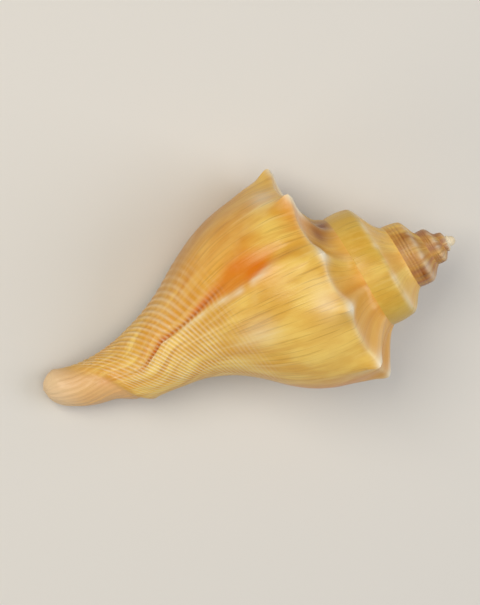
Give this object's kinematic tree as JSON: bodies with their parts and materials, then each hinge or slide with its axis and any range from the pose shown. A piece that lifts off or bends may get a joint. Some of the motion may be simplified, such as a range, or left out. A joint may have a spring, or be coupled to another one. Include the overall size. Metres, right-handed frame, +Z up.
{
  "type": "spiral melongena sea shell",
  "caption": "Empty right-handed sea snail shell with a stepped spire, a spined shoulder, a long open canal and a wide mouth, lying on its mouth",
  "frame": {"origin": "middle of the shell's bounding box, on the table that it lies on", "axes": "+X towards the apex of the spire, along the shell's length; +Y towards the outer lip; +Z up, out of the shell's back"},
  "size_m": [0.1076, 0.0578, 0.0478],
  "materials": {
    "shell": "satin ochre shell"
  },
  "bodies": {
    "root": {"shell": "shell"}
  },
  "joints": []
}
